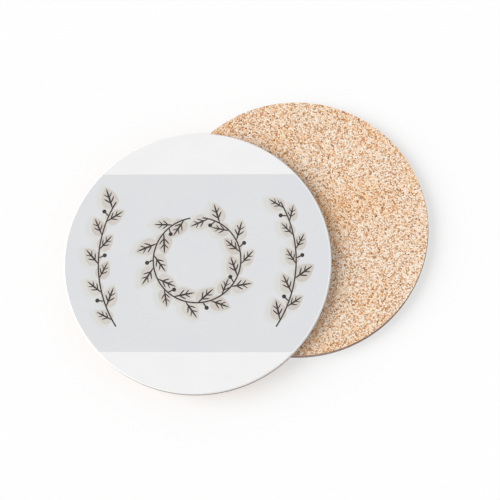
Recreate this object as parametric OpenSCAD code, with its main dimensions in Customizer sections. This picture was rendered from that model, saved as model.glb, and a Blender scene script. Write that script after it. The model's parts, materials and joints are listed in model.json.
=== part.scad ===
// A pair of round drink coasters: one lies face down with its cork up,
// the other lies face up on top of it and overhangs to one side.

/* [Coaster] */
// Diameter of a coaster
coaster_d = 95; // [70:0.5:140]
// Outer radius of the rounded shoulder between face and side
shoulder_r = 0.6; // [0.45:0.05:1]

/* [Hardboard core] */
// Thickness of the hardboard under the gloss coat
board_t = 2.8; // [2:0.1:6]

/* [Gloss coat] */
// Thickness of the white gloss coat on the face and round the shoulder
coat_t = 0.2; // [0.12:0.02:0.3]

/* [Printed band] */
// Height of the printed band across the face
band_w = 64.6; // [20:0.2:66]
// How far the band sits below the middle of the face
band_drop = 0.6; // [-1:0.1:1]
// Depth that the printing dye reaches into the gloss coat
dye_depth = 0.06; // [0.03:0.01:0.09]
// White margin between the ends of the band and the shoulder
band_margin = 0.15; // [0.05:0.05:1.5]

/* [Cork backing] */
// Thickness of the cork pad
cork_t = 1; // [0.8:0.1:3]
// How far the cork pad stays inside the side of the board
cork_inset = 0.3; // [0.05:0.05:1]
// Thickness of the adhesive film between cork and board
film_t = 0.1; // [0.05:0.01:0.2]

/* [Stack] */
// How far to the left of the lower coaster the upper one lies
stack_x = 35.1; // [0:0.1:38]
// How far towards the front of the lower coaster the upper one lies
stack_y = 13.8; // [0:0.1:20]

/* [Hidden] */

// Radii of a coaster's pieces
coaster_r = coaster_d / 2;
core_r = coaster_r - coat_t;
core_round = shoulder_r - coat_t;
cork_r = coaster_r - cork_inset;
band_r = coaster_r - shoulder_r - band_margin;

// Heights above the outer face of the cork
board_z = cork_t + film_t;
face_z = board_z + board_t + coat_t;
shoulder_z = face_z - shoulder_r;

// How far a cut runs past the surface that it opens
overrun = 0.5;
// Facets of a full circle
$fn = 180;

// Half section of a disc whose upper edge is rounded
module rounded_half(r, h, edge_r) {
    difference() {
        square([r, h]);
        translate([r - edge_r, h - edge_r])
            difference() {
                square([edge_r + overrun, edge_r + overrun]);
                circle(edge_r);
            }
    }
}

// Outline of the printed band: a straight strip with ends that follow the face
module band_outline() {
    intersection() {
        circle(band_r);
        translate([0, -band_drop]) square([coaster_d, band_w], center = true);
    }
}

// The pieces of one coaster, face up, with the cork's outer face at zero height

module cork_pad() {
    color("burlywood") cylinder(h = cork_t, r = cork_r);
}

module adhesive_film() {
    color("ivory") translate([0, 0, cork_t]) cylinder(h = film_t, r = cork_r);
}

// Full width up to the end of the coat, then a shoulder that the coat covers
module board() {
    color("rosybrown")
        translate([0, 0, board_z])
            rotate_extrude() {
                square([coaster_r, shoulder_z - board_z]);
                rounded_half(core_r, board_t, core_round);
            }
}

// A thin cap over the board's shoulder, with a shallow recess that the dye fills
module gloss_coat() {
    color("white")
        difference() {
            translate([0, 0, shoulder_z])
                rotate_extrude()
                    difference() {
                        rounded_half(coaster_r, shoulder_r, shoulder_r);
                        rounded_half(core_r, core_round, core_round);
                    }
            translate([0, 0, face_z - dye_depth])
                linear_extrude(dye_depth + overrun) band_outline();
        }
}

module printed_band() {
    color("gainsboro")
        translate([0, 0, face_z - dye_depth])
            linear_extrude(dye_depth) band_outline();
}

// The lower coaster lies on its printed face
module face_down() {
    translate([0, 0, face_z]) rotate([180, 0, 0]) children();
}

// The upper coaster lies with its cork on the lower one's cork
module face_up() {
    translate([-stack_x, -stack_y, face_z]) children();
}

module lower_gloss_coat() { face_down() gloss_coat(); }
module lower_printed_band() { face_down() printed_band(); }
module lower_board() { face_down() board(); }
module lower_adhesive_film() { face_down() adhesive_film(); }
module lower_cork_pad() { face_down() cork_pad(); }
module upper_cork_pad() { face_up() cork_pad(); }
module upper_adhesive_film() { face_up() adhesive_film(); }
module upper_board() { face_up() board(); }
module upper_printed_band() { face_up() printed_band(); }
module upper_gloss_coat() { face_up() gloss_coat(); }

lower_gloss_coat();
lower_printed_band();
lower_board();
lower_adhesive_film();
lower_cork_pad();
upper_cork_pad();
upper_adhesive_film();
upper_board();
upper_printed_band();
upper_gloss_coat();
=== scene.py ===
# %% [markdown]
# A drink coaster, shown as a pair: one lies face down with its cork up, the other lies on it face up.
# Each is a bonded sandwich of white gloss coat, printed band, hardboard, adhesive film and cork.
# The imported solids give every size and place, and this lesson adds smooth rounds, finish, print and
# cork grain. Lengths are in metres, and a value times MM is what a maker would read off a ruler.

# %% Load the solids and keep their box
import json
import math
from types import SimpleNamespace
import bmesh
import bpy
from mathutils import Matrix, Quaternion, Vector


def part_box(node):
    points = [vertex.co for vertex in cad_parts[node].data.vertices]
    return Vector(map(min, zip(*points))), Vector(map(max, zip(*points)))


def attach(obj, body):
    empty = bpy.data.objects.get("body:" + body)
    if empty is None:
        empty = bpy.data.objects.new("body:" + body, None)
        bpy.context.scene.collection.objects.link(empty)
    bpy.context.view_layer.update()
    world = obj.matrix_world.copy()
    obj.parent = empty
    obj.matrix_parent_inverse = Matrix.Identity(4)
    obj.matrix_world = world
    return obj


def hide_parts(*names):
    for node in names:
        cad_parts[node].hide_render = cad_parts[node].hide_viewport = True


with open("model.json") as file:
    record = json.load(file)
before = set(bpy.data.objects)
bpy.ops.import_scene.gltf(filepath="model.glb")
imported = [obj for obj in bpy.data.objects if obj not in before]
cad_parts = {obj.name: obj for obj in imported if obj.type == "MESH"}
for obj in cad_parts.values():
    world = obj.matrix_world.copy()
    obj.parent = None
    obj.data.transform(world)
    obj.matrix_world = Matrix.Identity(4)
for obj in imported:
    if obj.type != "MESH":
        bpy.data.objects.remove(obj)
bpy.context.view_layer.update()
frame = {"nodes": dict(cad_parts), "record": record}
MM = 0.001
print("nodes:", sorted(frame["nodes"]))

# %% [markdown]
# Everything later needs to know where a coaster's layers start and end.
# They could be typed in again, but then a change of the solids would leave the looks behind.
# So each size is read once, from the mount in the middle of the face and the boxes of the solids.
# Depths are counted from the face inwards, so the coaster that lies face down needs no sums of its own.

# %% Read where each coaster's layers lie
LAYERS = ("gloss_coat", "printed_band", "board", "adhesive_film", "cork_pad")
MOUNTS = {mount["name"]: mount for mount in frame["record"]["mounts"]}


def measure_layer(node, face):
    """Depth range below the face, radius, and lowest and highest y from the middle, of one layer."""
    low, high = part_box(node)
    near, far = sorted(abs(z - face.z) for z in (low.z, high.z))
    return SimpleNamespace(
        node=node, near=near, far=far, radius=high.x - face.x, front=low.y - face.y, back=high.y - face.y
    )


def measure_coaster(name, up, mount):
    """One coaster's body, face and layers; up is +1 where its printed face looks up."""
    face = Vector(MOUNTS[mount]["pos_m"])
    layers = {layer: measure_layer(f"{name}_{layer}", face) for layer in LAYERS}
    return SimpleNamespace(name=name, body=f"{name}_coaster", up=up, face=face, **layers)


COASTERS = [measure_coaster("lower", -1, "table_face"), measure_coaster("upper", 1, "cup_face")]
for coaster in COASTERS:
    for layer in LAYERS:
        size = getattr(coaster, layer)
        depths = f"{size.near / MM:.2f} to {size.far / MM:.2f} mm deep"
        print(f"{size.node}: {depths}, radius {size.radius / MM:.2f} mm")

# %% [markdown]
# Shader trees and geometry trees are built alike: a node is added, and its sockets are set or wired.
# Clicking nodes together can't be repeated, and long runs of raw calls are hard to read.
# A few small helpers keep each finish below down to the lines that say what it looks like.

# %% Helpers that add nodes to a tree


def socket(sockets, key):
    """A socket by its number, its identifier or its name."""
    if isinstance(key, int):
        return sockets[key]
    found = [s for s in sockets if s.identifier == key] or [s for s in sockets if s.name == key]
    return found[0]


def add(tree, kind, values=None, **settings):
    """One node, with its inputs set to plain values or wired to other nodes."""
    made = tree.nodes.new(kind)
    for key, value in settings.items():
        setattr(made, key, value)
    for key, value in (values or {}).items():
        into = socket(made.inputs, key)
        if isinstance(value, bpy.types.NodeSocket):
            tree.links.new(value, into)
        else:
            into.default_value = value
    return made


def calc(tree, operation, *values):
    """The result of one sum of numbers."""
    return add(tree, "ShaderNodeMath", dict(enumerate(values)), operation=operation).outputs[0]


def times(tree, number, *factors):
    """A number times one or more factors."""
    for factor in factors:
        number = calc(tree, "MULTIPLY", number, factor)
    return number


def total(tree, *terms):
    """The sum of terms, each a number or a (number, factor) pair."""
    result = 0.0
    for term in terms:
        number, factor = term if isinstance(term, tuple) else (term, 1.0)
        result = calc(tree, "MULTIPLY_ADD", number, factor, result)
    return result


def vector_calc(tree, operation, first, second):
    """The result of one sum of vectors."""
    return add(tree, "ShaderNodeVectorMath", {0: first, 1: second}, operation=operation).outputs[0]


def lengthen(tree, vector, factor):
    """A vector made longer or shorter by a factor."""
    return add(tree, "ShaderNodeVectorMath", {0: vector, "Scale": factor}, operation="SCALE").outputs[0]


def split(tree, vector):
    """The three numbers in a vector."""
    return add(tree, "ShaderNodeSeparateXYZ", {0: vector}).outputs


def joined(tree, x, y, z):
    """A vector from three numbers."""
    return add(tree, "ShaderNodeCombineXYZ", {0: x, 1: y, 2: z}).outputs[0]


def fade(tree, value, start, end, low=0.0, high=1.0):
    """A number that goes smoothly from low to high as value goes from start to end."""
    values = {"Value": value, "From Min": start, "From Max": end, "To Min": low, "To Max": high}
    return add(tree, "ShaderNodeMapRange", values, interpolation_type="SMOOTHSTEP").outputs["Result"]


def noise(tree, place, size, detail=2.0, roughness=0.5, output="Fac"):
    """Soft noise whose blobs are about size across."""
    values = {"Vector": place, "Scale": 1 / size, "Detail": detail, "Roughness": roughness}
    return add(tree, "ShaderNodeTexNoise", values).outputs[output]


# %% [markdown]
# A finish is a Principled shader with a few nodes that read the object's own coordinates.
# The colours are given in screen values, so one helper turns them into the linear values
# that a shader multiplies with light.

# %% Helpers for finishes


def rgb(red, green, blue):
    """Screen values from 0 to 255 as a linear colour."""
    linear = [((v / 255 + 0.055) / 1.055) ** 2.4 for v in (red, green, blue)]
    return (*linear, 1.0)


def new_finish(name, roughness, specular=0.5):
    """A material, its tree, its shader and the object coordinates."""
    finish = bpy.data.materials.new(name)
    finish.use_nodes = True
    tree = finish.node_tree
    shader = next(n for n in tree.nodes if n.type == "BSDF_PRINCIPLED")
    shader.inputs["Roughness"].default_value = roughness
    shader.inputs["Specular IOR Level"].default_value = specular
    place = add(tree, "ShaderNodeTexCoord").outputs["Object"]
    print("finish", name)
    return finish, tree, shader, place


def blend(tree, factor, first, second, way="MIX"):
    """Two colours mixed, or the first one tinted by the second; factor 0 gives the first."""
    values = {"Factor_Float": factor, "A_Color": first, "B_Color": second}
    made = add(tree, "ShaderNodeMix", values, data_type="RGBA", blend_type=way)
    return socket(made.outputs, "Result_Color")


def ramp(tree, factor, stops):
    """A colour that runs through the stops, a list of (place, colour)."""
    made = add(tree, "ShaderNodeValToRGB", {"Fac": factor})
    while len(made.color_ramp.elements) < len(stops):
        made.color_ramp.elements.new(1.0)
    for element, (place, colour) in zip(made.color_ramp.elements, stops):
        element.position = place
        element.color = colour
    return made.outputs["Color"]


def colour_by(tree, shader, colour):
    """Wires a colour into the shader."""
    tree.links.new(colour, shader.inputs["Base Color"])


def raise_by(tree, shader, height, distance):
    """Raises the finish by height times distance."""
    made = add(tree, "ShaderNodeBump", {"Height": height, "Distance": distance, "Strength": 1.0})
    tree.links.new(made.outputs["Normal"], shader.inputs["Normal"])


# %% [markdown]
# Gloss coat, board and film are round layers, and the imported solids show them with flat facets.
# From close up the rounded shoulder then glints in steps, so each layer is turned anew, as on a lathe.
# A section is given as corners of radius and depth, and the lathe draws it round in one-degree steps.

# %% A lathe for the round layers
TURN_STEPS = 360
SHARP_ANGLE = math.radians(30)
SAME_POINT = 1e-4 * MM


def ring_of_points(shell, coaster, radius, depth):
    """The points that one corner of a section becomes; on the axis they are one and the same."""
    middle = coaster.face - Vector((0, 0, coaster.up * depth))
    if radius == 0:
        return [shell.verts.new(middle)] * TURN_STEPS
    angles = [2 * math.pi * step / TURN_STEPS for step in range(TURN_STEPS)]
    around = [Vector((radius * math.cos(a), radius * math.sin(a), 0)) for a in angles]
    return [shell.verts.new(middle + offset) for offset in around]


def finish_mesh(shell, piece):
    """Merges doubles, turns all faces outwards, marks the sharp edges and counts."""
    bmesh.ops.remove_doubles(shell, verts=shell.verts, dist=SAME_POINT)
    bmesh.ops.recalc_face_normals(shell, faces=shell.faces)
    for face in shell.faces:
        face.smooth = True
    open_edges = sum(not edge.is_manifold for edge in shell.edges)
    shell.to_mesh(piece.data)
    shell.free()
    piece.data.set_sharp_from_angle(angle=SHARP_ANGLE)
    triangles = sum(len(p.vertices) - 2 for p in piece.data.polygons)
    print(piece.name, "triangles", triangles, "open edges", open_edges)


def turned(name, coaster, section):
    """A closed solid turned about a coaster's axis, from corners that start and end on the axis."""
    shell = bmesh.new()
    rings = [ring_of_points(shell, coaster, radius, depth) for radius, depth in section]
    for ring, next_ring in zip(rings, rings[1:]):
        for step in range(TURN_STEPS):
            ahead = (step + 1) % TURN_STEPS
            corners = [ring[step], ring[ahead], next_ring[ahead], next_ring[step]]
            shell.faces.new(list(dict.fromkeys(corners)))
    piece = bpy.data.objects.new(name, bpy.data.meshes.new(name))
    bpy.context.scene.collection.objects.link(piece)
    finish_mesh(shell, piece)
    return piece


def hand_over(piece, coaster, node=None):
    """Lets a piece ride on its coaster and hides the solid that it stands for."""
    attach(piece, coaster.body)
    if node:
        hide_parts(node)


def wear(piece, finish):
    """Gives a piece its one finish."""
    piece.data.materials.clear()
    piece.data.materials.append(finish)


# %% [markdown]
# The face is a cured polymer coat: white, hard and glossy, with a faint ripple from its curing.
# Plain white with a low roughness would look like a flat card from close up.
# So the ripple is a very shallow bump, and wiping marks change the gloss a little but not the colour.

# %% White gloss finish
COAT_WHITE = rgb(235, 235, 235)
COAT_SHADE = rgb(233, 233, 233)
RIPPLE_SIZE = 5 * MM
RIPPLE_HEIGHT = 0.004 * MM
CLOUD_SIZE = 9 * MM
CLOUD_RANGE = (0.3, 0.7)
WIPE_SIZE = 14 * MM
WIPE_RANGE = (0.35, 0.75)
GLOSS = 0.08
WIPED_GLOSS = (0.06, 0.15)


def add_gloss(tree, shader, place):
    """The ripple and the wiping marks that white coat and print have alike."""
    raise_by(tree, shader, noise(tree, place, RIPPLE_SIZE, detail=1.0), RIPPLE_HEIGHT)
    wiped = noise(tree, place, WIPE_SIZE, detail=5.0, roughness=0.65)
    tree.links.new(fade(tree, wiped, *WIPE_RANGE, *WIPED_GLOSS), shader.inputs["Roughness"])


def white_coat():
    """White polymer with a hardly visible cloudiness."""
    finish, tree, shader, place = new_finish("white_gloss_coat", GLOSS)
    cloud = fade(tree, noise(tree, place, CLOUD_SIZE, detail=3.0), *CLOUD_RANGE)
    colour_by(tree, shader, blend(tree, cloud, COAT_WHITE, COAT_SHADE))
    add_gloss(tree, shader, place)
    return finish


coat_finish = white_coat()

# %% [markdown]
# The coat wraps the shoulder of the board, so its section is a thin cap with a round outer corner.
# Two quarter circles about one centre keep the coat equally thick all the way round that corner.

# %% Section of the gloss coat
ARC_STEPS = 10
RIM_STRIP = 0.05 * MM


def shoulder_arc(coaster, radius):
    """Corners of a quarter circle about the shoulder's centre, from the top to the side."""
    shoulder = coaster.gloss_coat.far
    centre = coaster.gloss_coat.radius - shoulder
    turns = [math.pi / 2 * step / ARC_STEPS for step in range(ARC_STEPS + 1)]
    return [(centre + radius * math.sin(t), shoulder - radius * math.cos(t)) for t in turns]


def coat_section(coaster):
    """Face, shoulder, lip and the hollow that the board fills."""
    outer = shoulder_arc(coaster, coaster.gloss_coat.far)
    inner = shoulder_arc(coaster, coaster.gloss_coat.far - coaster.board.near)
    return [(0, 0), (outer[0][0] - RIM_STRIP, 0), *outer, *reversed(inner), (0, coaster.board.near)]


# %% [markdown]
# The dye of the print takes up the top of the coat, so the cap has a very shallow recess for the band.
# The lathe can't make it, because the straight sides of the band don't follow its rings.
# So the band's outline becomes a prism, and a Boolean takes that prism out of the cap.

# %% Gloss coats with a recess for the print
BAND_CELL = 0.6 * MM
CUT_OVERRUN = 0.5 * MM


def band_rows(band):
    """Heights across the face at which the ends of the band have a point, from front to back."""
    count = round((band.back - band.front) / BAND_CELL)
    return [band.front + (band.back - band.front) * row / count for row in range(count + 1)]


def band_prism(coaster):
    """The space of the printed band, open past the face."""
    band = coaster.printed_band
    right = [(math.sqrt(band.radius**2 - y**2), y) for y in band_rows(band)]
    outline = right + [(-x, y) for x, y in reversed(right)]
    shell = bmesh.new()
    rings = []
    for depth in (band.far, -CUT_OVERRUN):
        z = coaster.face.z - coaster.up * depth
        rings.append([shell.verts.new((coaster.face.x + x, coaster.face.y + y, z)) for x, y in outline])
    for ring in rings:
        shell.faces.new(ring)
    for corner in range(len(outline)):
        ahead = (corner + 1) % len(outline)
        shell.faces.new([rings[0][corner], rings[0][ahead], rings[1][ahead], rings[1][corner]])
    bmesh.ops.recalc_face_normals(shell, faces=shell.faces)
    prism = bpy.data.objects.new("band_prism", bpy.data.meshes.new("band_prism"))
    shell.to_mesh(prism.data)
    shell.free()
    bpy.context.scene.collection.objects.link(prism)
    return prism


def keep_result(piece):
    """Keeps what a piece's modifiers make of it as its plain mesh."""
    made = piece.evaluated_get(bpy.context.evaluated_depsgraph_get())
    mesh = bpy.data.meshes.new_from_object(made)
    piece.modifiers.clear()
    piece.data = mesh
    shell = bmesh.new()
    shell.from_mesh(mesh)
    finish_mesh(shell, piece)


def cut_recess(coat, coaster):
    """Takes the printed band's space out of the coat."""
    prism = band_prism(coaster)
    cut = coat.modifiers.new("recess", "BOOLEAN")
    cut.operation = "DIFFERENCE"
    cut.object = prism
    keep_result(coat)
    bpy.data.objects.remove(prism)


for coaster in COASTERS:
    coat = turned(coaster.name + "_coat", coaster, coat_section(coaster))
    cut_recess(coat, coaster)
    wear(coat, coat_finish)
    hand_over(coat, coaster, coaster.gloss_coat.node)

# %% [markdown]
# The core is hardboard, wood fibre pressed into a dense brown sheet, and the die leaves its side bare.
# A wood grain would be wrong here, because the fibres lie flat in thin layers in all directions.
# Noise squeezed along Z gives those layers, and short dark specks are the cut fibre ends.

# %% Hardboard cores
BOARD_DARK = rgb(122, 103, 99)
BOARD_STOPS = [(0.3, BOARD_DARK), (0.5, rgb(159, 138, 131)), (0.72, rgb(189, 170, 161))]
LAYER_LENGTH = 2.4 * MM
LAYER_SQUEEZE = (1.0, 1.0, 9.0)
FIBRE_END = 0.22 * MM
FIBRE_END_RANGE = (0.55, 0.8)
FIBRE_END_SHARE = 0.7
FIBRE_END_RISE = 0.5
FIBRE_HEIGHT = 0.05 * MM
CUT_EDGE = 0.06 * MM


def hardboard():
    """Dense fibre board with layers that follow the sheet."""
    finish, tree, shader, place = new_finish("hardboard_side", 0.75, specular=0.25)
    layered = vector_calc(tree, "MULTIPLY", place, LAYER_SQUEEZE)
    layers = noise(tree, layered, LAYER_LENGTH, detail=4.0, roughness=0.6)
    ends = noise(tree, place, FIBRE_END, detail=2.0)
    specks = fade(tree, ends, *FIBRE_END_RANGE, 0.0, FIBRE_END_SHARE)
    colour_by(tree, shader, blend(tree, specks, ramp(tree, layers, BOARD_STOPS), BOARD_DARK))
    raise_by(tree, shader, total(tree, layers, (ends, FIBRE_END_RISE)), FIBRE_HEIGHT)
    return finish


def board_section(coaster):
    """A shoulder under the coat, a straight side and a slightly broken lower edge."""
    board = coaster.board
    shoulder = shoulder_arc(coaster, coaster.gloss_coat.far - board.near)
    side = [(board.radius, coaster.gloss_coat.far), (board.radius, board.far - CUT_EDGE)]
    return [(0, board.near), *shoulder, *side, (board.radius - CUT_EDGE, board.far), (0, board.far)]


board_finish = hardboard()
for coaster in COASTERS:
    core = turned(coaster.name + "_core", coaster, board_section(coaster))
    wear(core, board_finish)
    hand_over(core, coaster, coaster.board.node)

# %% [markdown]
# The cork is held by a clear film with glue on both sides, of which only the cut edge ever shows.
# It collects dust where it is cut, so it reads as a thin greyish amber line.

# %% Adhesive films
FILM_AMBER = rgb(196, 184, 158)
FILM_DUSTY = rgb(160, 148, 130)
FILM_ROUGHNESS = (0.3, 0.7)
DUST_SIZE = 0.6 * MM
DUST_RANGE = (0.4, 0.7)


def clear_film():
    """A tacky plastic edge with dust in it."""
    finish, tree, shader, place = new_finish("adhesive_film_edge", 0.35)
    dust = fade(tree, noise(tree, place, DUST_SIZE, detail=4.0), *DUST_RANGE)
    colour_by(tree, shader, blend(tree, dust, FILM_AMBER, FILM_DUSTY))
    tree.links.new(fade(tree, dust, 0.0, 1.0, *FILM_ROUGHNESS), shader.inputs["Roughness"])
    return finish


film_finish = clear_film()
for coaster in COASTERS:
    film = coaster.adhesive_film
    section = [(0, film.near), (film.radius, film.near), (film.radius, film.far), (0, film.far)]
    sheet = turned(coaster.name + "_film", coaster, section)
    wear(sheet, film_finish)
    hand_over(sheet, coaster, film.node)

# %% [markdown]
# The rest is made by geometry trees: cork grain on a round pad, and a print of many like motifs.
# Each tree has named inputs for its sizes, and a modifier runs it on an empty carrier object.
# The result is then kept as a plain mesh, so that nothing live is left on the finished piece.

# %% Helpers that make and run a geometry tree
SOCKET_KINDS = {
    int: "NodeSocketInt",
    float: "NodeSocketFloat",
    Vector: "NodeSocketVector",
    bpy.types.Material: "NodeSocketMaterial",
    bpy.types.Object: "NodeSocketObject",
}


def new_tree(name, sizes):
    """A geometry tree with an input for each entry of sizes, and the outputs of its input node."""
    tree = bpy.data.node_groups.new(name, "GeometryNodeTree")
    tree.is_modifier = True
    for label, value in sizes.items():
        tree.interface.new_socket(label, in_out="INPUT", socket_type=SOCKET_KINDS[type(value)])
    tree.interface.new_socket("Geometry", in_out="OUTPUT", socket_type="NodeSocketGeometry")
    return tree, tree.nodes.new("NodeGroupInput").outputs


def real(tree, shape):
    """A shape whose copies are made into one mesh."""
    return add(tree, "GeometryNodeRealizeInstances", {"Geometry": shape}).outputs[0]


def end_tree(tree, shape, finish):
    """Makes a real mesh of a shape, gives it its finish and sends it out."""
    values = {"Geometry": real(tree, shape), "Material": finish}
    painted = add(tree, "GeometryNodeSetMaterial", values).outputs[0]
    add(tree, "NodeGroupOutput", {0: painted})


def run_tree(name, tree, sizes):
    """Runs a tree and keeps what it makes as a plain mesh object at the origin."""
    piece = bpy.data.objects.new(name, bpy.data.meshes.new(name + "_carrier"))
    modifier = piece.modifiers.new("shape", "NODES")
    modifier.node_group = tree
    for item in tree.interface.items_tree:
        if item.in_out == "INPUT":
            value = sizes[item.name]
            modifier[item.identifier] = tuple(value) if isinstance(value, Vector) else value
    bpy.context.scene.collection.objects.link(piece)
    keep_result(piece)
    piece.data.name = name
    return piece


# %% [markdown]
# Inside a tree, shapes are joined, moved, drawn out and merged again and again.
# Each of those is only one or two nodes, but with a name of its own a tree reads like a recipe.
# A shape is drawn flat on a drawing board at zero first, and only its last step lays it on a coaster.

# %% Helpers for the shapes in a tree


def together(tree, *shapes):
    """Several shapes as one."""
    both = add(tree, "GeometryNodeJoinGeometry")
    for shape in shapes:
        tree.links.new(shape, both.inputs[0])
    return both.outputs[0]


def placed(tree, shape, place):
    """A shape with its points moved to a place that is worked out for each."""
    return add(tree, "GeometryNodeSetPosition", {"Geometry": shape, "Position": place}).outputs[0]


def position(tree):
    """The place of the point at hand."""
    return add(tree, "GeometryNodeInputPosition").outputs[0]


def flat_grid(tree, columns, rows, width, height):
    """A flat grid about zero, and the x and y of the point at hand."""
    values = {"Size X": width, "Size Y": height, "Vertices X": columns, "Vertices Y": rows}
    grid = add(tree, "GeometryNodeMeshGrid", values).outputs["Mesh"]
    x, y, _ = split(tree, position(tree))
    return grid, x, y


def drawn_out(tree, mesh, chosen, height, mode):
    """Draws edges or faces out along Z; also gives what was drawn, for the next step."""
    values = {"Mesh": mesh, "Offset": joined(tree, 0.0, 0.0, 1.0), "Offset Scale": height}
    if chosen is not None:
        values["Selection"] = chosen
    if mode == "FACES":
        values["Individual"] = False
    made = add(tree, "GeometryNodeExtrudeMesh", values, mode=mode)
    return made.outputs["Mesh"], made.outputs["Top"]


def merged(tree, shape):
    """A shape without doubled points."""
    return add(tree, "GeometryNodeMergeByDistance", {"Geometry": shape, "Distance": SAME_POINT}).outputs[0]


def remembered(tree, shape, name, value, kind="FLOAT", domain="POINT"):
    """A shape that keeps a value under a name, for its finish to read."""
    values = {"Geometry": shape, "Name": name, "Value": value}
    made = add(tree, "GeometryNodeStoreNamedAttribute", values, data_type=kind, domain=domain)
    return made.outputs[0]


def turn_about(tree, angles):
    """A rotation from its angles about X, Y and Z."""
    return add(tree, "FunctionNodeEulerToRotation", {"Euler": angles}).outputs[0]


def laid_on(tree, shape, middle, turn):
    """Moves a shape from the drawing board to its coaster, turned over where that lies face down."""
    values = {"Geometry": shape, "Translation": middle, "Rotation": turn_about(tree, turn)}
    return add(tree, "GeometryNodeTransform", values).outputs[0]


def lay(coaster, depth, outwards):
    """Inputs that lay a drawing board at a depth, with its Z outwards through the face or inwards."""
    looks_up = coaster.up * outwards > 0
    middle = coaster.face - Vector((0, 0, coaster.up * depth))
    return {"Middle": middle, "Turn": Vector((0.0 if looks_up else math.pi, 0.0, 0.0))}


# %% [markdown]
# The backing is agglomerated cork: granules well under a millimetre across, pressed with a binder.
# Some are pale, some tan, a few dark specks are bark, and all stand at slightly different heights.
# A bump alone would leave the outline and the sides flat, so the pad gets a fine mesh with real grain.
# One function adds the same granules to the geometry tree and to the shader, so the two agree.

# %% The pattern of the cork
GRANULE = 0.47 * MM
WANDER_SIZE = GRANULE * 1.6
WANDER_REACH = GRANULE * 1.1
CRACK_WIDTH = 0.17
BARK_SHARE = 0.06
BARK_BLUR = 0.5
DEPTH_SHARES = (0.5, 0.3, 0.2)
NOISE_MIDDLE = (0.5, 0.5, 0.5)


def cork_granules(tree, place):
    """How deep each point lies (0 to 1), its granule's tone, how much of it is bark, and cracks."""
    wander = noise(tree, place, WANDER_SIZE, output="Color")
    wander = vector_calc(tree, "SUBTRACT", wander, NOISE_MIDDLE)
    bent = vector_calc(tree, "ADD", place, lengthen(tree, wander, WANDER_REACH))
    cell = {"Vector": bent, "Scale": 1 / GRANULE}
    granules = add(tree, "ShaderNodeTexVoronoi", cell)
    borders = add(tree, "ShaderNodeTexVoronoi", cell, feature="DISTANCE_TO_EDGE")
    tone, kind, level = split(tree, granules.outputs["Color"])
    crack = fade(tree, borders.outputs["Distance"], 0.0, CRACK_WIDTH, 1.0, 0.0)
    bark = fade(tree, kind, 1 - BARK_SHARE * (1 + BARK_BLUR), 1 - BARK_SHARE * (1 - BARK_BLUR))
    deep = total(tree, *zip((crack, level, bark), DEPTH_SHARES))
    return deep, tone, bark, crack


# %% [markdown]
# Raw cork is peach to tan, and warmest where granules were cut open or bark was pressed in.
# One brown for all would read as cardboard, so a ramp picks each granule's colour from its own tone.
# Fine grit breaks the granules up, wide patches drift towards orange, and the cracks get painted brown
# shade.

# %% Cork finish
GRIT = 0.25 * MM
CORK_STOPS = [
    (0.25, rgb(164, 111, 68)),
    (0.39, rgb(223, 175, 133)),
    (0.51, rgb(253, 219, 185)),
    (0.64, rgb(255, 240, 217)),
    (0.8, rgb(255, 250, 239)),
]
# Painted shade: the brown that darkens the cracks between granules, and how much of it.
CRACK_SHADE_BROWN = rgb(150, 100, 60)
CRACK_SHADE_SHARE = 0.5
BARK_TINT = rgb(177, 147, 115)
ORANGE_TINT = rgb(255, 235, 211)
PATCH = 2.2 * MM
DRIFT = 30 * MM
TONE_SHIFT = -0.03
TONE_SHARES = (0.56, 0.56, 0.08)
WARM_PATCH = 0.4
WARM_DRIFT = 0.6
WARM_RANGE = (0.4, 0.66)
GRIT_RISE = 0.8
BUMP_HEIGHT = 0.045 * MM


def cork_finish():
    """Peach and tan granules with painted shade in the cracks, bark specks and fine grit."""
    finish, tree, shader, place = new_finish("cork", 0.85, specular=0.2)
    deep, tone, bark, crack = cork_granules(tree, place)
    grit = noise(tree, place, GRIT, detail=2.0, roughness=0.6)
    patch = noise(tree, place, PATCH, detail=2.0)
    drift = noise(tree, place, DRIFT, detail=1.0)
    colour = ramp(tree, total(tree, TONE_SHIFT, *zip((tone, grit, patch), TONE_SHARES)), CORK_STOPS)
    warmth = total(tree, WARM_DRIFT, (patch, WARM_PATCH), (drift, -WARM_DRIFT))
    colour = blend(tree, fade(tree, warmth, *WARM_RANGE), colour, ORANGE_TINT, way="MULTIPLY")
    # Painted shade: the cracks are darkened brown in the colour, besides the real relief of the pad.
    colour = blend(tree, times(tree, crack, CRACK_SHADE_SHARE), colour, CRACK_SHADE_BROWN)
    colour_by(tree, shader, blend(tree, bark, colour, BARK_TINT, way="MULTIPLY"))
    raise_by(tree, shader, total(tree, (grit, GRIT_RISE), (deep, -1.0)), BUMP_HEIGHT)
    return finish


# %% [markdown]
# The pad is a sheet about a millimetre thick, glued to the board by its flat side.
# Its rim is drawn down in rings and closed, and then every free point sinks as deep as its granule lies.
# The side under the film stays flat, because glue holds it there.

# %% Side and grain of a cork pad
SIDE_RINGS = 4
FILM_GUARD = 0.05 * MM


def closed_pad(tree, sheet, thickness):
    """Draws the rim of a sheet down in rings and closes it with one flat face at zero."""
    neighbours = add(tree, "GeometryNodeInputMeshEdgeNeighbors").outputs[0]
    values = {"A_INT": neighbours, "B_INT": 1}
    rim = add(tree, "FunctionNodeCompare", values, data_type="INT", operation="EQUAL")
    chosen = rim.outputs[0]
    step = calc(tree, "DIVIDE", thickness, -float(SIDE_RINGS))
    for _ in range(SIDE_RINGS):
        sheet, chosen = drawn_out(tree, sheet, chosen, step, "EDGES")
    outline = add(tree, "GeometryNodeMeshToCurve", {"Mesh": sheet, "Selection": chosen}).outputs[0]
    back = add(tree, "GeometryNodeFillCurve", {"Curve": outline}).outputs[0]
    return merged(tree, together(tree, sheet, back))


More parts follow.
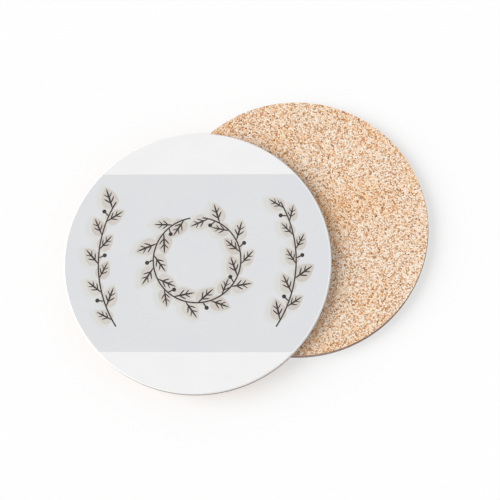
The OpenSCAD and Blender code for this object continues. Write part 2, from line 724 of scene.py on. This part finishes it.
def grained(tree, pad, given):
    """Sinks each point by its granules, apart from the face that the film holds."""
    place = position(tree)
    deep, _, _, _ = cork_granules(tree, place)
    rise = calc(tree, "SUBTRACT", split(tree, place)[2], split(tree, given["Middle"])[2])
    free = calc(tree, "GREATER_THAN", calc(tree, "ABSOLUTE", rise), FILM_GUARD)
    sink = times(tree, given["Grain Depth"], -1.0, deep)
    offset = lengthen(tree, add(tree, "GeometryNodeInputNormal").outputs[0], sink)
    values = {"Geometry": pad, "Selection": free, "Offset": offset}
    return add(tree, "GeometryNodeSetPosition", values).outputs[0]


# %% [markdown]
# Grain needs points at even distances all over the pad, and a disc of slices crowds them in the middle.
# A square grid has them even, so the square is drawn in to a circle: each coordinate shrinks by a factor
# that depends on the other one, and the middle of the square hardly changes.

# %% Cork pads
GRAIN_DEPTH = 0.12 * MM
PAD_CELLS = 296


def bulge(tree, other):
    """The factor that draws one side of a square in to a circle, from the other coordinate."""
    return calc(tree, "SQRT", total(tree, 1.0, (times(tree, other, other), -0.5)))


def pad_tree(sizes):
    """A round pad, drawn in from a square grid, then grained all over."""
    tree, given = new_tree("cork_pad", sizes)
    grid, x, y = flat_grid(tree, given["Cells"], given["Cells"], width=2.0, height=2.0)
    round_x = times(tree, x, bulge(tree, y), given["Radius"])
    round_y = times(tree, y, bulge(tree, x), given["Radius"])
    sheet = placed(tree, grid, joined(tree, round_x, round_y, given["Thickness"]))
    pad = laid_on(tree, closed_pad(tree, sheet, given["Thickness"]), given["Middle"], given["Turn"])
    end_tree(tree, grained(tree, pad, given), given["Finish"])
    return tree


def pad_sizes(coaster, finish):
    """The inputs of the pad tree for one coaster."""
    pad = coaster.cork_pad
    return {
        "Radius": pad.radius,
        "Thickness": pad.far - pad.near,
        "Cells": PAD_CELLS,
        "Grain Depth": GRAIN_DEPTH,
        "Finish": finish,
        **lay(coaster, pad.near, outwards=-1),
    }


cork = cork_finish()
tree_of_pads = pad_tree(pad_sizes(COASTERS[0], cork))
for coaster in COASTERS:
    pad = run_tree(coaster.name + "_cork", tree_of_pads, pad_sizes(coaster, cork))
    hand_over(pad, coaster, coaster.cork_pad.node)

# %% [markdown]
# The print is dye in the coat: a pale grey ground, cream leaves on it and near-black strokes on those.
# The leaves sit in a wreath in the middle and in a curved spray at each side.
# One image could show it all, but an image blurs from close up, and this scene uses none.
# So each ink is a closed sheet a few microns thick, and the sheets lie in each other in printing order.

# %% Sheets of ink


def round_blank(tree):
    """The x and y of a point on a circle of radius one, to be bent into an outline."""
    x, y, _ = split(tree, position(tree))
    return x, y


def filled(tree, points, x, y):
    """A flat sheet inside a circle whose points have been moved to x and y."""
    circle = {"Resolution": points, "Radius": 1.0}
    blank = add(tree, "GeometryNodeCurvePrimitiveCircle", circle).outputs["Curve"]
    outline = placed(tree, blank, joined(tree, x, y, 0.0))
    return add(tree, "GeometryNodeFillCurve", {"Curve": outline}, mode="TRIANGLES").outputs[0]


def thickened(tree, sheet, height):
    """A closed sheet between zero and height."""
    top, _ = drawn_out(tree, sheet, None, height, "FACES")
    under = add(tree, "GeometryNodeFlipFaces", {"Mesh": sheet}).outputs[0]
    return merged(tree, together(tree, top, under))


# %% [markdown]
# Drawn point by point, a leaf's outline would have one length and one width for good.
# So a circle is bent instead: along X it runs from stem to tip, and it narrows towards the tip.
# The blade also remembers its own places, so that the fibres in its colour can run along it.

# %% Leaf blade
LEAF_POINTS = 40
LEAF_SWELL = 0.68
TIP_SHARPNESS = 0.45


def leaf_blade(tree, given):
    """A leaf along X from zero, with a pointed tip, that remembers its own places."""
    x, y = round_blank(tree)
    along = total(tree, (x, 0.5), 0.5)
    to_tip = calc(tree, "MAXIMUM", total(tree, 1.0, (along, -1.0)), 0.0)
    narrowing = calc(tree, "POWER", to_tip, TIP_SHARPNESS)
    half = times(tree, given["Leaf Width"], LEAF_SWELL, narrowing)
    from_stem = times(tree, along, given["Leaf Length"])
    blade = filled(tree, LEAF_POINTS, from_stem, times(tree, y, half))
    return remembered(tree, blade, "leaf_place", position(tree), kind="FLOAT_VECTOR")


# %% [markdown]
# Midribs, side veins and stalks are all one stroke in different sizes, and most come in numbers.
# A copy knows nothing but its own number, so its place, turn and size are worked out from that.

# %% Strokes and copies
STROKE_POINTS = 16


def stroke(tree, length, width):
    """A thin stroke along X from zero: an ellipse, drawn out very long."""
    x, y = round_blank(tree)
    along = times(tree, total(tree, (x, 0.5), 0.5), length)
    return filled(tree, STROKE_POINTS, along, times(tree, y, 0.5, width))


def copies(tree, count, place, shape, turn, size=1.0):
    """Copies of a shape at count points, each turned in the plane."""
    points = add(tree, "GeometryNodePoints", {"Count": count, "Position": place}).outputs[0]
    values = {
        "Points": points,
        "Instance": shape,
        "Rotation": turn_about(tree, joined(tree, 0.0, 0.0, turn)),
        "Scale": joined(tree, size, size, 1.0),
    }
    return add(tree, "GeometryNodeInstanceOnPoints", values).outputs[0]


def count_up(tree, first=0.0, step=1.0):
    """The number of the copy at hand, counted from first in steps."""
    return total(tree, first, (add(tree, "GeometryNodeInputIndex").outputs[0], step))


def side_of(tree, number):
    """+1 and -1 in turn."""
    return total(tree, 1.0, (calc(tree, "MODULO", number, 2.0), -2.0))


# %% [markdown]
# Veins branch from the midrib, and a berry sits on the end of its stalk, so these shapes overlap.
# Two faces in one plane flicker in a render, so each crossing shape lies a hair deeper than the other.

# %% Leaf veins and berries
MIDRIB_SHARE = 0.9
SIDE_VEIN_PAIRS = 2
FIRST_VEIN = 0.24
VEIN_SPREAD = 0.5
VEIN_SHARE = 0.5
VEIN_SHRINK = 0.2
VEIN_TURN = math.radians(38)
VEIN_ROOT = 0.06 * MM
BERRY_POINTS = 20
LAYER_STEP = 0.0002 * MM


def leaf_veins(tree, given):
    """A midrib and side veins that lean towards the tip and stop short of the edge."""
    rib = stroke(tree, times(tree, given["Leaf Length"], MIDRIB_SHARE), given["Midrib Width"])
    number = count_up(tree)
    pair = calc(tree, "FLOOR", calc(tree, "DIVIDE", number, 2.0))
    share = total(tree, FIRST_VEIN, (pair, VEIN_SPREAD / SIDE_VEIN_PAIRS))
    along = times(tree, share, given["Leaf Length"])
    side = side_of(tree, number)
    vein = stroke(tree, times(tree, given["Leaf Width"], VEIN_SHARE), given["Vein Width"])
    root = joined(tree, along, times(tree, side, VEIN_ROOT), -LAYER_STEP / 2)
    turn = times(tree, side, VEIN_TURN)
    size = total(tree, 1.0, (pair, -VEIN_SHRINK))
    veins = copies(tree, SIDE_VEIN_PAIRS * 2, root, vein, turn, size)
    return together(tree, rib, real(tree, veins))


def berry_on_stalk(tree, given):
    """A stalk along X from zero, with a round berry on its end."""
    stalk = stroke(tree, given["Stalk Length"], given["Vein Width"])
    x, y = round_blank(tree)
    half = times(tree, given["Berry Size"], 0.5)
    along = calc(tree, "MULTIPLY_ADD", x, half, given["Stalk Length"])
    berry = filled(tree, BERRY_POINTS, along, times(tree, y, half))
    values = {"Geometry": berry, "Translation": (0.0, 0.0, -LAYER_STEP)}
    return together(tree, stalk, add(tree, "GeometryNodeTransform", values).outputs[0])


# %% [markdown]
# Wreath and sprays are the same thing: leaves set in turn left and right along an arc.
# An arc is five numbers, and one step along it is the room of one leaf.

# %% Wreath and spray arcs


def arc_of(centre_x, radius, start, sweep, leaves):
    """An arc by its centre, radius, first angle and sweep in degrees, and its number of leaves."""
    return SimpleNamespace(
        x=centre_x, radius=radius, start=math.radians(start), sweep=math.radians(sweep), leaves=leaves
    )


WREATH = arc_of(centre_x=0.0, radius=15.5 * MM, start=100, sweep=344, leaves=21)
RIGHT_SPRAY = arc_of(centre_x=-9 * MM, radius=44 * MM, start=-33, sweep=62, leaves=9)
LEFT_SPRAY = arc_of(centre_x=9 * MM, radius=44 * MM, start=213, sweep=-62, leaves=9)


def on_arc(tree, arc, step, layer, outwards=0.0):
    """The point at a step along an arc, one step to a leaf, and the direction of growth there."""
    angle = total(tree, arc.start, (step, arc.sweep / arc.leaves))
    radius = total(tree, arc.radius, outwards)
    x = calc(tree, "MULTIPLY_ADD", radius, calc(tree, "COSINE", angle), arc.x)
    y = times(tree, radius, calc(tree, "SINE", angle))
    place = joined(tree, x, y, total(tree, 0.0, (layer, -LAYER_STEP)))
    return place, total(tree, angle, math.copysign(math.pi / 2, arc.sweep))


# %% [markdown]
# Placing each leaf by hand would take a long list, and an even ring of copies would look stamped.
# So a leaf's number gives its place, and a seeded random number varies its size and lean a little.
# Leaves and veins draw the same random numbers, which keeps every vein on its own leaf.

# %% Leaves, berries and stem of an arc
LEAF_LEANS = (math.radians(31), math.radians(45))
LEAF_SIZES = (0.8, 1.02)
STEM_POINTS = 4
STEM_LAYER = 22.0
BERRY_STEP = 3
BERRY_LAG = 0.1
BERRY_LEAN = math.radians(64)
BERRY_LAYER = 24.0
PRINT_SEED = 11
SEEDS_OF_ARC = 2


def random_between(tree, low, high, seed):
    """A seeded random number for each copy."""
    values = {"Min_001": low, "Max_001": high, "Seed": seed}
    return socket(add(tree, "FunctionNodeRandomValue", values).outputs, "Value_001")


def leaves_on_arc(tree, arc, leaf, seed):
    """Copies of a leaf, or of its veins, in turn left and right of an arc; each has its own tone."""
    place, ahead = on_arc(tree, arc, count_up(tree, 0.5), layer=count_up(tree))
    lean = random_between(tree, *LEAF_LEANS, seed)
    turn = total(tree, ahead, (lean, side_of(tree, count_up(tree))))
    leaves = copies(tree, arc.leaves, place, leaf, turn, random_between(tree, *LEAF_SIZES, seed))
    tone = random_between(tree, 0.0, 1.0, seed + 1)
    return remembered(tree, leaves, "leaf_tone", tone, domain="INSTANCE")


def berries_on_arc(tree, arc, berry):
    """A berry just behind every third leaf, on that leaf's side."""
    leaf_number = count_up(tree, BERRY_STEP - 1.0, float(BERRY_STEP))
    place, ahead = on_arc(tree, arc, total(tree, leaf_number, -BERRY_LAG), layer=BERRY_LAYER)
    turn = total(tree, ahead, (side_of(tree, leaf_number), BERRY_LEAN))
    return copies(tree, arc.leaves // BERRY_STEP, place, berry, turn)


def stem_of_arc(tree, arc, width):
    """The thin stroke that the leaves of an arc grow from."""
    strip, x, y = flat_grid(tree, STEM_POINTS * arc.leaves, 2, width=1.0, height=1.0)
    step = total(tree, arc.leaves / 2, (x, float(arc.leaves)))
    place, _ = on_arc(tree, arc, step, layer=STEM_LAYER, outwards=times(tree, y, width))
    return placed(tree, strip, place)


def print_tree(name, sizes, dark):
    """The cream leaves of a face, or its dark strokes."""
    tree, given = new_tree(name, sizes)
    motif = leaf_veins(tree, given) if dark else leaf_blade(tree, given)
    shapes = []
    for number, arc in enumerate((WREATH, RIGHT_SPRAY, LEFT_SPRAY)):
        shapes.append(leaves_on_arc(tree, arc, motif, PRINT_SEED + SEEDS_OF_ARC * number))
        if dark:
            shapes.append(stem_of_arc(tree, arc, given["Stem Width"]))
            shapes.append(berries_on_arc(tree, arc, berry_on_stalk(tree, given)))
    inked = thickened(tree, real(tree, together(tree, *shapes)), given["Ink Height"])
    end_tree(tree, laid_on(tree, inked, given["Middle"], given["Turn"]), given["Finish"])
    return tree


# %% [markdown]
# Three dyes make the print: grey for the ground, cream for the leaves and near-black for the strokes.
# All of them lie in the same gloss coat, so they share its ripple and its wiping marks.
# What differs is the colour, which in a photographic print is never quite even.

# %% Inks
LEAF_CREAM = rgb(209, 205, 199)
LEAF_WARM = rgb(201, 194, 187)
FIBRE_BROWN = rgb(181, 171, 161)
FIBRE_SIZE = 0.28 * MM
FIBRE_SQUEEZE = (0.12, 1.0, 1.0)
FIBRE_RANGE = (0.45, 0.75)
FIBRE_SHARE = 0.55
FIBRE_SHIFT = 50 * MM
STROKE_BLACK = rgb(48, 43, 40)
STROKE_BROWN = rgb(66, 57, 51)
THIN_PATCH = 1.2 * MM
THIN_RANGE = (0.35, 0.65)


def leaf_ink():
    """Cream dye: each leaf has its own tone, and faint fibres run along it."""
    finish, tree, shader, place = new_finish("cream_ink", GLOSS)
    tone = add(tree, "ShaderNodeAttribute", attribute_name="leaf_tone").outputs["Fac"]
    at = add(tree, "ShaderNodeAttribute", attribute_name="leaf_place").outputs["Vector"]
    shifted = vector_calc(tree, "ADD", at, lengthen(tree, joined(tree, tone, tone, tone), FIBRE_SHIFT))
    drawn_long = vector_calc(tree, "MULTIPLY", shifted, FIBRE_SQUEEZE)
    fibres = fade(tree, noise(tree, drawn_long, FIBRE_SIZE, detail=3.0), *FIBRE_RANGE, 0.0, FIBRE_SHARE)
    colour_by(tree, shader, blend(tree, fibres, blend(tree, tone, LEAF_CREAM, LEAF_WARM), FIBRE_BROWN))
    add_gloss(tree, shader, place)
    return finish


def stroke_ink():
    """Near-black dye that runs a little thin in soft patches."""
    finish, tree, shader, place = new_finish("dark_ink", GLOSS)
    thin = fade(tree, noise(tree, place, THIN_PATCH, detail=3.0), *THIN_RANGE)
    colour_by(tree, shader, blend(tree, thin, STROKE_BLACK, STROKE_BROWN))
    add_gloss(tree, shader, place)
    return finish


# %% [markdown]
# Each face gets one sheet of leaves and one of strokes, and both come from the same arcs and numbers.
# The strokes end level with the face, and the leaves end a few microns below it, under the strokes.

# %% Printed leaves and strokes
INK_STEP = 0.006 * MM
INK_HEIGHT = 0.009 * MM
PRINT_SIZES = {
    "Leaf Length": 8.4 * MM,
    "Leaf Width": 5.6 * MM,
    "Midrib Width": 0.7 * MM,
    "Vein Width": 0.5 * MM,
    "Stem Width": 0.5 * MM,
    "Stalk Length": 2.4 * MM,
    "Berry Size": 1.5 * MM,
    "Ink Height": INK_HEIGHT,
}


def ink_sizes(coaster, depth, finish):
    """Inputs for a print layer whose outer side lies depth below the face."""
    return {**PRINT_SIZES, "Finish": finish, **lay(coaster, depth + INK_HEIGHT, outwards=1)}


leaf_finish = leaf_ink()
stroke_finish = stroke_ink()
leaf_tree = print_tree("print_leaves", ink_sizes(COASTERS[0], INK_STEP, leaf_finish), dark=False)
stroke_tree = print_tree("print_strokes", ink_sizes(COASTERS[0], 0.0, stroke_finish), dark=True)
printed_leaves = {}
for coaster in COASTERS:
    leaves = run_tree(coaster.name + "_print_leaves", leaf_tree, ink_sizes(coaster, INK_STEP, leaf_finish))
    strokes = run_tree(coaster.name + "_print_strokes", stroke_tree, ink_sizes(coaster, 0.0, stroke_finish))
    hand_over(leaves, coaster)
    hand_over(strokes, coaster)
    printed_leaves[coaster.name] = leaves

# %% [markdown]
# The grey ground of the print is its own thin sheet with ends that follow the round face.
# Flat grey would look cut out of paper, so each leaf throws a soft printed shadow to its left.
# A shader can't measure how far a leaf is, but a geometry tree can, and it stores that as an attribute.

# %% Printed band
BAND_GREY = rgb(217, 218, 220)
BAND_SOFT = rgb(215, 216, 219)
BAND_SHADOW = rgb(212, 212, 209)
BAND_CLOUD = 16 * MM
SHADOW_SHIFT = (1.2 * MM, 0.3 * MM, 0.0)
SHADOW_REACH = 1.5 * MM


def band_ink():
    """Pale grey dye with the leaves' soft shadows."""
    finish, tree, shader, place = new_finish("grey_ink", GLOSS)
    cloud = fade(tree, noise(tree, place, BAND_CLOUD, detail=3.0), *CLOUD_RANGE)
    grey = blend(tree, cloud, BAND_GREY, BAND_SOFT)
    shade = add(tree, "ShaderNodeAttribute", attribute_name="leaf_shade").outputs["Fac"]
    colour_by(tree, shader, blend(tree, shade, grey, BAND_SHADOW))
    add_gloss(tree, shader, place)
    return finish


def shaded_by_leaves(tree, slab, given):
    """Stores how much of a leaf's printed shadow lies on each point."""
    leaves = add(tree, "GeometryNodeObjectInfo", {"Object": given["Leaves"]}).outputs["Geometry"]
    looked_from = vector_calc(tree, "ADD", position(tree), SHADOW_SHIFT)
    values = {"Target": leaves, "Source Position": looked_from}
    gap = add(tree, "GeometryNodeProximity", values, target_element="FACES").outputs["Distance"]
    return remembered(tree, slab, "leaf_shade", fade(tree, gap, 0.0, SHADOW_REACH, 1.0, 0.0))


def band_tree(sizes):
    """Rows of cells that each run from one end of the round face to the other."""
    tree, given = new_tree("printed_band", sizes)
    grid, x, y = flat_grid(tree, given["Columns"], given["Rows"], width=2.0, height=1.0)
    row = calc(tree, "MULTIPLY_ADD", y, given["Width"], given["Rise"])
    room = total(tree, times(tree, given["Radius"], given["Radius"]), (times(tree, row, row), -1.0))
    sideways = times(tree, x, calc(tree, "SQRT", room))
    sheet = placed(tree, grid, joined(tree, sideways, row, 0.0))
    slab = laid_on(tree, thickened(tree, sheet, given["Ink Height"]), given["Middle"], given["Turn"])
    end_tree(tree, shaded_by_leaves(tree, slab, given), given["Finish"])
    return tree


def band_sizes(coaster, finish):
    """Inputs of the band tree; the slab starts at the floor of the recess and stops under the leaves."""
    band = coaster.printed_band
    rows = band_rows(band)
    return {
        "Radius": band.radius,
        "Width": band.back - band.front,
        "Rise": (band.front + band.back) / 2 * coaster.up,
        "Ink Height": band.far - 2 * INK_STEP,
        "Columns": round(2 * band.radius / BAND_CELL),
        "Rows": len(rows),
        "Leaves": printed_leaves[coaster.name],
        "Finish": finish,
        **lay(coaster, band.far, outwards=1),
    }


band_finish = band_ink()
tree_of_bands = band_tree(band_sizes(COASTERS[0], band_finish))
for coaster in COASTERS:
    band = run_tree(coaster.name + "_band", tree_of_bands, band_sizes(coaster, band_finish))
    hand_over(band, coaster, coaster.printed_band.node)

# %% [markdown]
# The camera looks down at 75.5 degrees, as in the photograph, and is rolled a little.
# It was fitted to the two round outlines, so place, target, roll and lens belong together.

# %% Camera
CAMERA_PLACE = Vector((-6.27, -104.46, 373.74)) * MM
CAMERA_TARGET = Vector((-16.63, -8.17, 0.0)) * MM
CAMERA_ROLL = -6.01
LENS = 76.87
SENSOR_WIDTH = 36.0
NEAREST_SEEN = 5 * MM
camera = bpy.data.objects.new("camera", bpy.data.cameras.new("camera"))
camera.data.lens = LENS
camera.data.sensor_width = SENSOR_WIDTH
camera.data.clip_start = NEAREST_SEEN
sight = CAMERA_TARGET - CAMERA_PLACE
roll = Quaternion((0, 0, 1), math.radians(CAMERA_ROLL))
aim = sight.to_track_quat("-Z", "Y") @ roll
camera.matrix_world = Matrix.Translation(CAMERA_PLACE) @ aim.to_matrix().to_4x4()
bpy.context.scene.collection.objects.link(camera)
bpy.context.scene.camera = camera
print("camera", round(sight.length / MM), "mm from its target")

# %% [markdown]
# The picture was taken on a white sweep that is lit itself: the floor glows as much as it reflects, so
# its shadows stay pale. It lies a hair below the printed face that stands on it, because two faces in
# one plane flicker, and from below it is clear as glass, so that this face can be looked at too.

# %% Floor
WHITE = (1, 1, 1, 1)
FLOOR_SIZE = 8.0
FLOOR_CELLS = 161
FLOOR_GAP = 0.05 * MM
FLOOR_GREY = (0.45, 0.45, 0.45, 1)
FLOOR_GLOW = 0.502
bpy.ops.mesh.primitive_grid_add(
    x_subdivisions=FLOOR_CELLS, y_subdivisions=FLOOR_CELLS, size=FLOOR_SIZE, location=(0, 0, -FLOOR_GAP)
)
floor = bpy.context.object
floor.name = "floor"
floor_finish, floor_tree, floor_shader, _ = new_finish("pale_floor", 0.9, specular=0.0)
floor_shader.inputs["Base Color"].default_value = FLOOR_GREY
floor_shader.inputs["Emission Color"].default_value = WHITE
floor_shader.inputs["Emission Strength"].default_value = FLOOR_GLOW
from_below = add(floor_tree, "ShaderNodeNewGeometry").outputs["Backfacing"]
see_through = add(floor_tree, "ShaderNodeBsdfTransparent").outputs[0]
sides = {0: from_below, 1: floor_shader.outputs[0], 2: see_through}
floor_mix = add(floor_tree, "ShaderNodeMixShader", sides)
floor_end = next(n for n in floor_tree.nodes if n.type == "OUTPUT_MATERIAL")
floor_tree.links.new(floor_mix.outputs[0], floor_end.inputs["Surface"])
wear(floor, floor_finish)

# %% [markdown]
# Light comes from all round, and a wide key light from the left leaves the right in soft shade.
# A lamp close by would light the near side of the face more, and a far one keeps the face even.

# %% Light
SKY_STRENGTH = 0.62
world = bpy.data.worlds.new("studio")
bpy.context.scene.world = world
world.use_nodes = True
sky = world.node_tree.nodes["Background"].inputs
sky["Color"].default_value = WHITE
sky["Strength"].default_value = SKY_STRENGTH


def far_light(name, azimuth, elevation, strength, softness):
    """A soft far light; azimuth is the side that it comes from, 0 from +X and 90 from +Y."""
    light = bpy.data.lights.new(name, "SUN")
    light.energy = strength
    light.angle = math.radians(softness)
    a, e = math.radians(azimuth), math.radians(elevation)
    towards = Vector((math.cos(a) * math.cos(e), math.sin(a) * math.cos(e), math.sin(e)))
    made = bpy.data.objects.new(name, light)
    made.rotation_euler = (-towards).to_track_quat("-Z", "Y").to_euler()
    made.location = towards
    bpy.context.scene.collection.objects.link(made)
    print(name, "from", azimuth, "degrees,", elevation, "degrees up")


far_light("key_light", azimuth=180, elevation=35, strength=2.58, softness=50)
bpy.context.scene.view_settings.view_transform = "Standard"
